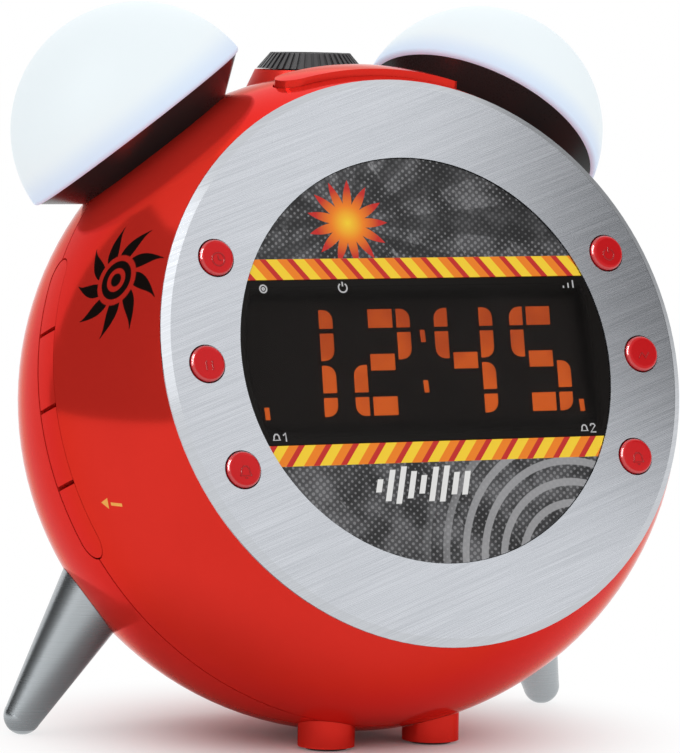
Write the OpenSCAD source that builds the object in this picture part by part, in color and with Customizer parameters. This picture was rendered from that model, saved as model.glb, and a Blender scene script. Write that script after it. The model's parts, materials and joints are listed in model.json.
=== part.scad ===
/* [Body] */
// Radius of the round case
body_r = 72; // [68:0.5:78]
// Wall thickness of the two case halves
wall = 2.4; // [2:0.1:3]
// Angle by which the face leans back from upright
lean = 18.2; // [12:0.1:24]
// Height of the lowest point of the case above the table
floor_gap = 1.4; // [1:0.1:4]
// Radius of the flat on the back
back_r = 40; // [39:0.5:44]
// Width of the groove along the seam between the case halves
seam_w = 0.5; // [0.3:0.1:0.8]
// Depth of the groove along the seam between the case halves
seam_d = 0.6; // [0.3:0.1:0.9]

/* [Face] */
// Radius of the brushed face plate
plate_r = 62; // [60:0.5:64]
// Thickness of the face plate
plate_t = 1.6; // [1.4:0.1:2.2]
// Width of the bevel around the plate
plate_bevel_w = 1.7; // [1:0.1:2.4]
// Depth of the bevel around the plate
plate_bevel_h = 1.2; // [0.6:0.1:1.3]
// Radius of the round opening that the dial fills
dial_r = 44.3; // [43.5:0.1:46]
// How far the dial sits below the plate's front
dial_recess = 0.3; // [0.1:0.1:0.5]
// How far the dial's flange reaches under the plate
dial_lip = 2; // [1.2:0.1:2.6]
// Thickness of the dial's flange
dial_flange_t = 1.2; // [0.8:0.1:1.5]
// Height of the dark display band
band_h = 35.6; // [34.5:0.1:38]
// Width of the ledge that carries the display window
window_ledge = 1.4; // [1:0.1:1.8]

/* [Display] */
// Height of a digit
digit_h = 23; // [20:0.1:25]
// Width of a digit
digit_w = 14.1; // [12:0.1:15]
// Distance from one digit to the next
digit_pitch = 18.5; // [17:0.1:18.8]
// Extra room for the colon
colon_room = 1.6; // [1:0.1:3]
// Angle by which the digits slant
digit_slant = 4.1; // [0:0.1:6]
// Width of the upright bars of a digit
bar_w = 3.1; // [2.6:0.1:3.4]
// Height of the top and bottom bars of a digit
bar_h = 4; // [3:0.1:4.4]
// Height of the middle bar of a digit
middle_bar_h = 3.5; // [2.6:0.1:4]
// Gap between the bars of a digit
bar_gap = 1.1; // [0.6:0.1:1.6]
// How far the lit bars stand out of the display block
bar_t = 0.3; // [0.2:0.1:0.5]
// Room between the lit bars and the window
window_room = 0.5; // [0.3:0.1:1]
// Width of the display block
block_w = 84; // [82:0.5:86]
// Height of the display block
block_h = 31; // [30:0.5:33]
// Depth of the display block
block_t = 8.9; // [8.5:0.1:9.5]

/* [Face buttons] */
// Diameter of a face button
button_d = 7.7; // [6.5:0.1:8.4]
// How far the face buttons lie outside the middle of the plate's rim
button_shift = 0.1; // [-0.5:0.1:0.6]
// Angle between neighbouring face buttons
button_step = 25.6; // [20:0.1:30]
// How far a face button stands out of the plate
button_proud = 1.1; // [0.9:0.1:2]
// Rounding of a face button's top edge
button_round = 0.9; // [0.3:0.1:1]
// How far a face button travels
button_travel = 0.8; // [0.4:0.1:0.8]
// Gap around a face button
button_gap = 0.3; // [0.2:0.05:0.5]

/* [Side keys] */
// Angle that one side key takes up around the case
key_step = 13.4; // [12:0.1:14]
// Width of the row of side keys
key_w = 7.8; // [6.5:0.1:9]
// Gap around the row of side keys
key_gap = 0.35; // [0.25:0.05:0.5]
// Gap between neighbouring side keys
key_split = 0.9; // [0.4:0.1:1.2]
// How far a side key travels
key_travel = 0.7; // [0.4:0.1:0.8]
// Distance from the case's centre to the ends of the side key stems
key_stem_x = 58; // [56.5:0.1:59]

/* [Snooze bar] */
// Length of the snooze bar
snooze_len = 43.5; // [40:0.5:50]
// Width of the snooze bar
snooze_w = 9.2; // [8:0.1:10]
// How far the snooze bar stands out of the case
snooze_proud = 1.5; // [1.2:0.1:2.5]
// How far the snooze bar travels
snooze_travel = 1; // [0.5:0.1:1.1]
// Distance from the plate's seat back to the middle of the snooze bar
snooze_setback = 8.4; // [8:0.1:9]
// Gap around the snooze bar
snooze_gap = 0.35; // [0.25:0.05:0.5]
// Length of the snooze bar's stem below the inside of the wall
snooze_stem = 9; // [7:0.1:11]

/* [Lips and stems] */
// How far a retaining lip reaches past its opening
lip_w = 1.2; // [0.8:0.1:1.4]
// Thickness of a retaining lip
lip_t = 1.2; // [0.8:0.1:1.5]
// Gap between a lip and the wall that stops it
lip_gap = 0.3; // [0.2:0.05:0.4]
// Diameter of the stems under keys and buttons
stem_d = 3.2; // [2.4:0.1:4]

/* [Bells] */
// Angle of a bell from the middle of the case
bell_angle = 34.5; // [32:0.1:37]
// Radius of a bell at its rim
bell_r = 27.9; // [26:0.1:28.5]
// Height of a bell's light dome
dome_h = 27.4; // [25:0.1:28.5]
// Wall thickness of a light dome
dome_t = 3; // [2.6:0.1:3.6]
// Rounding at a dome's rim
dome_round = 1; // [0.6:0.1:1.6]
// Radius at the foot of a bell's base
bell_foot_r = 19.5; // [18:0.1:21]
// Height of a bell's base
bell_base_h = 5.7; // [5:0.1:8]
// Radius of the spigot that holds a bell in the case
spigot_r = 5; // [4:0.1:5.5]
// Length of that spigot
spigot_len = 6; // [4:0.1:7]
// Radius of the light board in a bell
light_board_r = 16; // [12:0.5:17.5]

/* [Projector] */
// Room between the snooze bar's board and the projector's lamp housing
projector_gap = 1.9; // [1.5:0.1:4]
// Height of the collar's rim above the case in front of it
collar_rise = 0.2; // [0.1:0.1:1]
// Radius of the collar's rim
collar_r = 12.2; // [12:0.1:13.5]
// Angle by which the collar flares outwards
collar_flare = 25; // [15:1:35]
// Radius of the focus ring at its foot
ring_r = 11.8; // [11:0.1:12]
// Radius of the focus ring at its top
ring_top_r = 8.8; // [8.6:0.1:10]
// Height of the focus ring
ring_h = 3.5; // [3:0.1:5]
// Number of grooves around the focus ring
ring_grooves = 44; // [30:1:56]
// How far the lens barrel rises or sinks as the ring turns
barrel_travel = 0.8; // [0.4:0.1:1]
// Radius of the projector lens
lens_r = 5.1; // [4.4:0.1:5.2]
// Wall thickness of the projector's tubes
tube_t = 1.3; // [1:0.1:1.4]
// Running gap between the projector's tubes
tube_gap = 0.3; // [0.25:0.05:0.35]
// Length of the collar's tube
collar_tube_len = 15; // [13:0.5:18]
// Side of the lamp housing
lamp_w = 21; // [20.5:0.5:23]
// Height of the lamp housing
lamp_h = 18; // [14:0.5:20]

/* [Legs and feet] */
// Distance of a rear leg's tip from the middle
leg_x = 65.3; // [62:0.1:68]
// Distance of a rear leg's tip behind the case's centre
leg_back = 25.7; // [24:0.1:28]
// Angle by which a rear leg leans from upright
leg_tilt = 30; // [27:0.5:33]
// Direction in which a rear leg leans
leg_turn = 36.9; // [33:0.1:40]
// Radius of a rear leg's rounded tip
leg_tip_r = 4.15; // [3.5:0.05:5]
// Widening of a rear leg's radius for each millimetre of length
leg_taper = 0.139; // [0.1:0.001:0.16]
// Depth of the flat on a rear leg's tip
leg_flat = 0.15; // [0.1:0.05:0.4]
// Distance of a front foot from the middle
foot_x = 12.8; // [11:0.1:16]
// Distance of a front foot in front of the case's centre
foot_front = 16.8; // [14:0.1:19]
// Diameter of a front foot
foot_d = 12.4; // [10:0.1:14]
// Diameter of the pad under a front foot
pad_d = 9; // [7:0.1:9.4]
// Thickness of the pad under a front foot
pad_t = 1.6; // [1.2:0.1:2]
// How far the pad stands out of the foot
pad_proud = 0.6; // [0.4:0.1:0.9]

/* [Back] */
// Diameter of a backup cell
cell_d = 10.5; // [10:0.1:10.8]
// Length of a backup cell
cell_len = 44.5; // [43:0.1:46]
// Room for a contact at each end of a cell
contact_room = 2.5; // [2:0.1:2.8]
// Distance of the battery door's middle below the back's middle
door_drop = 15.6; // [15:0.1:16]
// Thickness of the battery door
door_t = 2; // [1.6:0.1:2.2]
// Gap around the battery door
door_gap = 0.3; // [0.25:0.05:0.4]
// Width of the ledge that carries the battery door
door_ledge = 1.2; // [1:0.1:1.4]
// Radius of the loudspeaker
speaker_r = 18; // [16:0.1:18.5]
// Height of the loudspeaker above the back's middle
speaker_rise = 18; // [17.5:0.1:18.5]
// Radius of a hole in the loudspeaker's grille
grille_hole_r = 1.1; // [0.8:0.05:1.4]
// Distance between the rings of grille holes
grille_step = 4.4; // [3.8:0.1:4.6]
// Distance of the power inlet from the back's middle
inlet_x = 30; // [29:0.1:31]
// Height of the power inlet above the back's middle
inlet_rise = 10; // [8:0.1:11]
// Radius of the power inlet's opening
inlet_r = 2.9; // [2.6:0.05:3.1]

/* [Boards and screws] */
// Thickness of the circuit boards
board_t = 1.6; // [1.2:0.1:2]
// Radius of the face board
face_board_r = 57; // [56:0.1:57.5]
// Half the height of the face board
face_board_half_h = 41; // [40:0.1:41.5]
// Height of a tact switch
switch_h = 4.3; // [3.8:0.1:4.5]
// Side of a tact switch
switch_w = 6; // [5:0.1:6.2]
// Free room left between a stem and its switch at full travel
switch_slack = 0.15; // [0.1:0.05:0.2]
// Depth of the main board below the case's centre
main_board_drop = 40; // [38:0.5:42]
// Width of the main board
main_board_w = 66; // [60:0.5:68]
// Depth of the main board from front to back
main_board_l = 34; // [30:0.5:36]
// Radius of the posts that carry the boards
post_r = 2.8; // [2.5:0.1:3.2]
// Radius of a board screw
board_screw_r = 1.2; // [1:0.05:1.4]
// Radius of a case screw
case_screw_r = 1.5; // [1.3:0.05:1.8]
// Distance of a case screw from the case's axis
case_screw_ring_r = 56; // [55:0.1:57]
// Thickness of the floor under a case screw's head
screw_floor = 4; // [3:0.1:6]
// Length of the thread of a case screw in the front half
screw_grip = 8; // [6:0.5:10]
// Clearance of a screw in its hole
screw_gap = 0.1; // [0.05:0.01:0.15]
// Clearance between fixed pieces that fit into each other
fit = 0.15; // [0.1:0.01:0.2]

/* [Hidden] */
$fn = 96;

// A cut runs past the face that it opens
past = 1;
// Hair's breadth between a fixed piece and the round case that it stands on
seat_gap = fit / 3;
case_red = "firebrick";
board_green = "seagreen";

// The case stands with its middle at the height of its radius above the gap
inner_r = body_r - wall;
mid_wall_r = body_r - wall / 2;
body_z = body_r + floor_gap;
seat_z = sqrt(body_r * body_r - plate_r * plate_r);
face_z = seat_z + plate_t;
back_z = sqrt(body_r * body_r - back_r * back_r);
front_reach = (plate_r - plate_bevel_w) * sin(lean) + face_z * cos(lean);
back_reach = back_r * sin(lean) + back_z * cos(lean);
body_y = (front_reach - back_reach) / 2;

// Layers behind the face
wall_back_z = seat_z - wall;
dial_front_z = face_z - dial_recess;
block_front_z = seat_z - window_room - bar_t;
face_board_z = block_front_z - block_t - board_t;
switch_top_z = face_board_z + board_t + switch_h;
button_stem_z = switch_top_z + button_travel + switch_slack;
opening_r = dial_r - window_ledge;
opening_h = band_h - 2 * window_ledge;
board_screw_x = 33;
board_screw_y = 36;

// Boards and their screws
board_screw_len = board_t + 4;
board_edge = 1.5;
post_room = 1;
switch_plunger_h = 0.8;

// Lips of the keys and of the snooze bar
lip_out_r = inner_r - lip_gap;
lip_in_r = lip_out_r - lip_t;

// Row of side keys
key_count = 4;
key_recess = 0.1;
key_row_len = 2 * body_r * sin(key_step * key_count / 2);
key_switch_x = key_stem_x - key_travel - switch_slack;
key_board_x = key_switch_x - switch_h;
key_post_y = 22;
key_post_z = key_w / 2 + key_gap + lip_w + post_r + post_room;
key_board_len = 60;
key_board_low_z = -switch_w / 2 - board_edge;
key_board_high_z = key_post_z + post_r;

// Snooze bar
snooze_pitch = asin((seat_z - snooze_setback) / body_r);
snooze_stem_z = inner_r - snooze_stem;
snooze_switch_z = snooze_stem_z - snooze_travel - switch_slack;
snooze_board_z = snooze_switch_z - switch_h - board_t;
snooze_post_x = 8;
snooze_post_y = snooze_w / 2 + snooze_gap + lip_w + post_r + post_room;
snooze_board_half_w = snooze_post_x + post_r;
snooze_board_front_y = -switch_w / 2 - board_edge;
snooze_board_back_y = snooze_post_y + post_r;

// Bells
bell_pad_extra = 0.8;
bell_seat = sqrt(body_r * body_r - bell_foot_r * bell_foot_r);
bell_rim = bell_seat + bell_base_h;
bell_pad_t = wall + bell_pad_extra;
bell_clear = 4;
dome_cap_h = dome_h - dome_round;
dome_sphere_r = (bell_r * bell_r + dome_cap_h * dome_cap_h) / (2 * dome_cap_h);
dome_centre = dome_h - dome_sphere_r;
light_pocket_room = 0.4;
light_pocket = board_t + light_pocket_room;
wire_r = 2;

// Projector, measured from the case's centre with the axes of the table
snooze_tilt = lean - snooze_pitch;
snooze_board_reach = snooze_board_z * sin(snooze_tilt) + snooze_board_back_y * cos(snooze_tilt);
projector_back = snooze_board_reach + projector_gap + lamp_w / 2;
collar_top = sqrt(body_r * body_r - pow(projector_back - ring_r, 2)) + collar_rise;
lens_gap = tube_gap / 3;
barrel_r = lens_r + lens_gap + tube_t;
sleeve_in_r = barrel_r + tube_gap;
sleeve_r = sleeve_in_r + tube_t;
collar_in_r = sleeve_r + tube_gap;
collar_tube_r = collar_in_r + tube_t;
collar_skirt_h = 15;
ring_bottom = collar_top + tube_gap;
ring_top = ring_bottom + ring_h;
sleeve_len = 9;
barrel_recess = 0.5;
barrel_top = ring_top - barrel_travel - barrel_recess;
barrel_len = 10;
lens_ledge = 0.8;
lens_drop = 3.4;
lens_seat = barrel_top - lens_drop;
lamp_top = collar_top - collar_tube_len;
lamp_wall = 1.6;
screen_drop = 6;
screen_t = 1.2;

// Rear legs
leg_root_len = 24;
leg_boss_r = 5.5;
leg_boss_len = 10;
leg_bore_len = 12;
leg_bore_spare = 1;
leg_screw_r = case_screw_r;
screw_head_h = 2.2;
function leg_axis(side) =
  [-side * sin(leg_tilt) * cos(leg_turn), -sin(leg_tilt) * sin(leg_turn), cos(leg_tilt)];
function leg_tip(side) = [side * leg_x, leg_back, leg_tip_r - leg_flat - body_z];
function reach_ball(p, d, r) = -(p * d) - sqrt(pow(p * d, 2) - p * p + r * r);
leg_seat = reach_ball(leg_tip(1), leg_axis(1), body_r);

// Back
cell_count = 2;
tray_w = cell_len + 2 * contact_room;
cell_gap = 0.5;
tray_room = 1.4;
tray_spare = 1;
tray_h = cell_count * cell_d + tray_room;
tray_depth = cell_d + tray_spare;
tray_wall = 1.6;
door_w = tray_w + 2 * door_ledge;
door_h = tray_h + 2 * door_ledge;
door_low_y = -door_drop - door_h / 2;
door_round = door_t / 2;
speaker_wall = 1.6;
speaker_lip_h = 4;
speaker_z = -back_z + wall;
inlet_body_w = 9;
inlet_body_h = 11;
inlet_body_l = 13;
inlet_nose_r = 4.2;
inlet_depth = 9.5;
inlet_pin_r = 1.05;
inlet_pin_recess = 1;
bush_r = 3.4;
bush_bore_r = 1.2;
bush_flange_w = 1.2;
bush_flange_t = 1.6;

// Screws that join the case halves
boss_wall = 3;
boss_room = 1;
well_room = 1.4;
well_wall = 1.8;
case_boss_r = case_screw_r + boss_wall;
case_well_r = 2 * case_screw_r + well_room;
case_tube_r = case_well_r + well_wall;
case_screw_at = [for (a = [45 : 90 : 315]) case_screw_ring_r * [cos(a), sin(a)]];
main_board_z = -25;
main_post_inset = 4;
main_post_x = main_board_w / 2 - main_post_inset;
main_post_z = main_board_l / 2 - main_post_inset;

// Places of the face buttons around the dial
button_ring_r = (dial_r + plate_r - plate_bevel_w) / 2 + button_shift;
button_angles = [180 - button_step, 180, 180 + button_step, button_step, 0, -button_step];

// Axes of the face: origin at the case's centre, y up the face, z out of the face
module leaned() {
  translate([0, body_y, body_z]) rotate([90 - lean, 0, 0]) children();
}

// Axes of the table with the origin at the case's centre
module upright() {
  translate([0, body_y, body_z]) children();
}

// Axes of the table inside leaned()
module table_axes() {
  rotate([lean - 90, 0, 0]) children();
}

// z runs out along the axis of a bell, inside leaned()
module along_bell(side) {
  rotate([0, 0, -side * bell_angle]) rotate([-90, 0, 0]) children();
}

// z runs out through the middle of the snooze bar, inside leaned()
module along_snooze() {
  rotate([snooze_pitch - 90, 0, 0]) children();
}

// z runs from a leg's tip into the case, inside upright()
module along_leg(side) {
  turn = side > 0 ? 180 + leg_turn : -leg_turn;
  translate(leg_tip(side)) rotate([0, 0, turn]) rotate([0, leg_tilt, 0]) children();
}

module tube(r_out, r_in, h) {
  difference() {
    cylinder(r = r_out, h = h);
    translate([0, 0, -past]) cylinder(r = r_in, h = h + 2 * past);
  }
}

module block(size) {
  translate([-size.x / 2, -size.y / 2, 0]) cube(size);
}

module ball_slice(r, low, high) {
  intersection() {
    sphere(r);
    translate([0, 0, low]) cylinder(r = r + past, h = high - low);
  }
}

// A slice of the case, whose ball has its poles at the top and bottom as it stands
module case_slice(r, low, high) {
  intersection() {
    table_axes() sphere(r);
    translate([0, 0, low]) cylinder(r = r + past, h = high - low);
  }
}

// A post with a rounded top edge
module rounded_post(r, h, round_r) {
  cylinder(r = r - round_r, h = h);
  cylinder(r = r, h = h - round_r);
  translate([0, 0, h - round_r]) rotate_extrude() translate([r - round_r, 0]) circle(round_r);
}

// A bar with half-round ends that stands along z
module round_ended(len, w, h) {
  translate([-(len - w) / 2, -w / 2, 0]) cube([len - w, w, h]);
  for (s = [-1, 1]) translate([s * (len - w) / 2, 0, 0]) cylinder(d = w, h = h);
}

module screw(r, len) {
  cylinder(r = r, h = len);
  translate([0, 0, -screw_head_h]) cylinder(r = 2 * r, h = screw_head_h);
}

// The band of the display, bounded by a circle
module band(r, h, low, high) {
  intersection() {
    translate([0, 0, low]) cylinder(r = r, h = high - low);
    translate([0, 0, low]) block([2 * r + past, h, high - low]);
  }
}

module at_buttons() {
  for (a = button_angles) translate(button_ring_r * [cos(a), sin(a), 0]) children();
}

module at_board_posts() {
  for (x = [-1, 1], y = [-1, 1]) translate([x * board_screw_x, y * board_screw_y, 0]) children();
}

module at_main_posts() {
  for (x = [-1, 1], z = [-1, 1])
    translate([x * main_post_x, -main_board_drop, main_board_z + z * main_post_z])
      rotate([90, 0, 0]) children();
}

module at_case_screws() {
  for (p = case_screw_at) translate([p.x, p.y, 0]) children();
}

module at_key_posts() {
  for (y = [-1, 1])
    translate([-key_board_x, y * key_post_y, key_post_z]) rotate([0, -90, 0]) children();
}

// Hole for a board screw, measured from the foot of its post
module board_screw_hole() {
  translate([0, 0, -board_t - past])
    cylinder(r = board_screw_r + screw_gap, h = board_screw_len + 2 * past);
}

module at_snooze_posts() {
  along_snooze() for (x = [-1, 1])
    translate([x * snooze_post_x, snooze_post_y, snooze_board_z + board_t]) children();
}

// The row of side keys as a prism that runs out to the left
module key_row(grow) {
  rotate([0, -90, 0]) rotate([0, 0, 90])
    round_ended(key_row_len + 2 * grow, key_w + 2 * grow, body_r + past);
}

module snooze_prism(grow) {
  round_ended(snooze_len + 2 * grow, snooze_w + 2 * grow, body_r + snooze_proud + past);
}

// What both case halves share: seats, slots and openings along the seam
module bell_pads() {
  for (side = [-1, 1]) intersection() {
    sphere(mid_wall_r);
    along_bell(side) translate([0, 0, bell_seat - bell_pad_t])
      cylinder(r = bell_foot_r, h = bell_pad_t);
  }
}

module seam_cuts() {
  for (side = [-1, 1]) along_bell(side) {
    translate([0, 0, bell_seat]) cylinder(r = bell_foot_r + bell_clear, h = body_r - bell_seat + past);
    translate([0, 0, bell_seat - bell_pad_t - 2 * past])
      cylinder(r = spigot_r + fit, h = bell_pad_t + 3 * past);
  }
  table_axes() translate([0, projector_back, body_r / 2]) cylinder(r = collar_tube_r + fit, h = body_r);
  key_row(key_gap);
}

module front_case() {
  color(case_red) leaned() difference() {
    union() {
      difference() {
        case_slice(body_r, 0, seat_z);
        case_slice(inner_r, -past, wall_back_z);
      }
      intersection() {
        case_slice(mid_wall_r, 0, seat_z - wall / 2);
        union() {
          bell_pads();
          at_case_screws() cylinder(r = case_boss_r, h = seat_z);
          at_board_posts() translate([0, 0, face_board_z + board_t]) cylinder(r = post_r, h = seat_z);
          at_key_posts() cylinder(r = post_r, h = body_r);
          at_snooze_posts() cylinder(r = post_r, h = body_r);
        }
      }
    }
    translate([0, 0, seat_z - dial_flange_t])
      cylinder(r = dial_r + dial_lip + fit, h = dial_flange_t + past);
    band(opening_r, opening_h, wall_back_z - past, seat_z);
    at_buttons() translate([0, 0, wall_back_z - past])
      cylinder(d = button_d + 2 * button_gap, h = wall + 2 * past);
    at_buttons() translate([0, 0, button_stem_z])
      cylinder(d = button_d + 2 * lip_w + 2 * button_gap, h = wall_back_z - button_stem_z);
    at_case_screws() translate([0, 0, -past])
      cylinder(r = case_screw_r + screw_gap, h = screw_grip + 2 * past);
    at_board_posts() translate([0, 0, face_board_z + board_t]) board_screw_hole();
    at_key_posts() board_screw_hole();
    at_snooze_posts() board_screw_hole();
    along_snooze() snooze_prism(snooze_gap);
    seam_cuts();
  }
}

module rear_case() {
  color(case_red) leaned() difference() {
    union() {
      difference() {
        case_slice(body_r, -back_z, 0);
        case_slice(inner_r, wall - back_z, past);
      }
      intersection() {
        case_slice(mid_wall_r, wall / 2 - back_z, 0);
        union() {
          bell_pads();
          at_case_screws() translate([0, 0, -body_r]) cylinder(r = case_tube_r, h = body_r);
          at_main_posts() cylinder(r = post_r, h = body_r);
          table_axes() for (side = [-1, 1]) along_leg(side)
            translate([0, 0, leg_seat - leg_boss_len]) cylinder(r = leg_boss_r, h = 2 * leg_boss_len);
          translate([0, -door_drop, -back_z])
            block([door_w + 2 * tray_wall, door_h + 2 * tray_wall, door_t + tray_wall]);
          translate([0, -door_drop, -back_z])
            block([tray_w + 2 * tray_wall, tray_h + 2 * tray_wall, door_t + tray_depth + tray_wall]);
          translate([0, speaker_rise, -back_z])
            cylinder(r = speaker_r + fit + speaker_wall, h = wall + speaker_lip_h);
        }
      }
    }
    at_case_screws() translate([0, 0, -body_r]) cylinder(r = case_well_r, h = body_r - screw_floor);
    at_case_screws() translate([0, 0, -body_r]) cylinder(r = case_screw_r + screw_gap, h = body_r + past);
    at_main_posts() board_screw_hole();
    table_axes() for (side = [-1, 1]) along_leg(side)
      translate([0, 0, leg_seat - leg_boss_len])
        cylinder(r = leg_screw_r + screw_gap, h = 3 * leg_boss_len);
    battery_recess();
    translate([0, speaker_rise, speaker_z]) cylinder(r = speaker_r + fit, h = speaker_lip_h + past);
    translate([0, speaker_rise, -back_z - past]) grille_holes();
    translate([inlet_x, inlet_rise, -back_z - past]) cylinder(r = inlet_nose_r + fit, h = wall + 2 * past);
    translate([-inlet_x, inlet_rise, -back_z - past]) cylinder(r = bush_r + fit, h = wall + 2 * past);
    translate([0, 0, -seam_w]) tube(body_r + past, body_r - seam_d, seam_w + past);
    seam_cuts();
  }
}

// Shallow seat for the door, with room for the edge that it swings on, over the deeper tray for the cells
module battery_recess() {
  translate([0, -door_drop, -back_z - past])
    block([door_w + 2 * door_gap, door_h + 2 * door_gap, door_t + past]);
  translate([0, -door_drop, -back_z]) block([tray_w, tray_h, door_t + tray_depth]);
  translate([0, door_low_y + door_round, -back_z])
    block([door_w + 2 * door_gap, 2 * (door_round + door_gap), door_t + door_gap]);
}

module grille_holes() {
  cylinder(r = grille_hole_r, h = wall + 2 * past);
  for (ring = [1 : 3], i = [0 : 6 * ring - 1])
    rotate([0, 0, 60 * i / ring]) translate([ring * grille_step, 0, 0])
      cylinder(r = grille_hole_r, h = wall + 2 * past);
}

module face_plate() {
  color("silver") leaned() translate([0, 0, seat_z]) difference() {
    union() {
      cylinder(r = plate_r, h = plate_t - plate_bevel_h);
      translate([0, 0, plate_t - plate_bevel_h])
        cylinder(r1 = plate_r, r2 = plate_r - plate_bevel_w, h = plate_bevel_h);
    }
    translate([0, 0, -past]) cylinder(r = dial_r, h = plate_t + 2 * past);
    at_buttons() translate([0, 0, -past]) cylinder(d = button_d + 2 * button_gap, h = plate_t + 2 * past);
  }
}

module dial_panel() {
  color("dimgray") leaned() difference() {
    union() {
      translate([0, 0, seat_z - dial_flange_t]) cylinder(r = dial_r + dial_lip, h = dial_flange_t);
      translate([0, 0, seat_z - dial_flange_t])
        cylinder(r = dial_r - fit, h = dial_front_z - seat_z + dial_flange_t);
    }
    translate([0, 0, seat_z]) block([2 * dial_r + 2 * past, band_h, plate_t]);
    band(opening_r, opening_h, seat_z - dial_flange_t - past, seat_z + past);
    at_buttons() translate([0, 0, seat_z - dial_flange_t - past])
      cylinder(d = button_d + 2 * button_gap, h = dial_flange_t + 2 * past);
  }
}

module display_window() {
  color([0.1, 0.09, 0.09]) leaned() band(dial_r - fit, band_h - 2 * fit, seat_z, dial_front_z);
}

module display_block() {
  color("black") leaned() translate([0, 0, face_board_z + board_t]) intersection() {
    block([block_w, block_h, block_t]);
    cylinder(r = opening_r - 2 * fit, h = block_t);
  }
}

// Bars of one digit by name, each as [low x, low y, high x, high y] from the digit's middle
bar_x = digit_w / 2;
bar_y = digit_h / 2;
inner_x = bar_x - bar_w - bar_gap;
corner_y = bar_y - bar_h - bar_gap;
function bar_box(name) =
  name == "a" ? [-inner_x, bar_y - bar_h, inner_x, bar_y] :
  name == "d" ? [-inner_x, -bar_y, inner_x, bar_h - bar_y] :
  name == "g" ? [-inner_x, -middle_bar_h / 2, inner_x, middle_bar_h / 2] :
  name == "b" ? [bar_x - bar_w, bar_gap / 2, bar_x, corner_y] :
  name == "c" ? [bar_x - bar_w, -corner_y, bar_x, -bar_gap / 2] :
  name == "e" ? [-bar_x, -corner_y, bar_w - bar_x, -bar_gap / 2] :
  name == "f" ? [-bar_x, bar_gap / 2, bar_w - bar_x, corner_y] :
  name == "top right" ? [bar_x - bar_w, bar_y - bar_h, bar_x, bar_y] :
  name == "top left" ? [-bar_x, bar_y - bar_h, bar_w - bar_x, bar_y] :
  name == "low right" ? [bar_x - bar_w, -bar_y, bar_x, bar_h - bar_y] :
  [-bar_x, -bar_y, bar_w - bar_x, bar_h - bar_y];

// Which bars light up for each digit that is shown
shown_bars = [
  ["top right", "b", "c", "low right"],
  ["a", "top right", "b", "g", "e", "low left", "d"],
  ["top left", "f", "g", "top right", "b", "c", "low right"],
  ["top left", "a", "f", "g", "c", "low right", "d"]
];
function digit_x(i) = (i - 1.5) * digit_pitch + (i < 2 ? -1 : 1) * colon_room / 2;
function slanted(p) = [p.x + p.y * tan(digit_slant), p.y];

// Bars at the sides of a digit have one outer corner rounded
function corner_sides(name) =
  name == "top right" ? [1, 1] :
  name == "top left" ? [-1, 1] :
  name == "low right" ? [1, -1] :
  name == "low left" ? [-1, -1] :
  name == "b" ? [1, -1] :
  name == "c" ? [1, 1] :
  name == "e" ? [-1, 1] :
  name == "f" ? [-1, -1] : [0, 0];
corner_round = 2.2;
function corner_point(box, sides, cx, cy) =
  let (at = [cx < 0 ? box[0] : box[2], cy < 0 ? box[1] : box[3]])
  sides == [cx, cy]
    ? [for (k = [0 : 4]) let (a = cx * cy > 0 ? 22.5 * k : 90 - 22.5 * k)
        at - corner_round * [cx * (1 - cos(a)), cy * (1 - sin(a))]]
    : [at];
function bar_points(name) =
  let (box = bar_box(name), sides = corner_sides(name))
  concat(corner_point(box, sides, 1, -1), corner_point(box, sides, 1, 1),
    corner_point(box, sides, -1, 1), corner_point(box, sides, -1, -1));

colon_w = 1;
colon_h = 2.6;
colon_rise = 5.5;
mark_xs = [-38.9, 37.1];
mark_y = -10.5;
module lit_bars() {
  color("orangered") leaned() translate([0, 0, block_front_z]) {
    for (i = [0 : 3], name = shown_bars[i]) translate([digit_x(i), 0, 0])
      linear_extrude(bar_t) polygon([for (p = bar_points(name)) slanted(p)]);
    for (s = [-1, 1]) translate([s * colon_rise * tan(digit_slant), s * colon_rise, 0])
      block([colon_w, colon_h, bar_t]);
    for (x = mark_xs) translate([x, mark_y, 0]) block([colon_w, colon_h, bar_t]);
  }
}

module face_board() {
  color(board_green) leaned() difference() {
    intersection() {
      translate([0, 0, face_board_z]) cylinder(r = face_board_r, h = board_t);
      translate([0, 0, face_board_z]) block([2 * face_board_r, 2 * face_board_half_h, board_t]);
    }
    at_case_screws() cylinder(r = case_boss_r + boss_room, h = body_r);
    at_board_posts() translate([0, 0, face_board_z + board_t]) board_screw_hole();
  }
}

module tact_switch() {
  block([switch_w, switch_w, switch_h - switch_plunger_h]);
  cylinder(d = stem_d, h = switch_h);
}

module face_switches() {
  color("dimgray") leaned() at_buttons() translate([0, 0, face_board_z + board_t]) tact_switch();
}

module face_button(i) {
  a = button_angles[i];
  button_base_z = wall_back_z - lip_t;
  color("crimson") leaned() translate(button_ring_r * [cos(a), sin(a), 0]) {
    translate([0, 0, button_base_z])
      rounded_post(button_d / 2, face_z + button_proud - button_base_z, button_round);
    translate([0, 0, button_base_z]) cylinder(d = button_d + 2 * lip_w, h = lip_t);
    translate([0, 0, button_stem_z]) cylinder(d = stem_d, h = button_base_z - button_stem_z + lip_t);
  }
}

module upper_left_button() face_button(0);
module middle_left_button() face_button(1);
module lower_left_button() face_button(2);
module upper_right_button() face_button(3);
module middle_right_button() face_button(4);
module lower_right_button() face_button(5);

// Where the side keys part, counted from the top of the row
function key_edge(i) = body_r * sin(key_step * (key_count / 2 - i));
function key_middle(i) = (key_edge(i) + key_edge(i + 1)) / 2;

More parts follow.
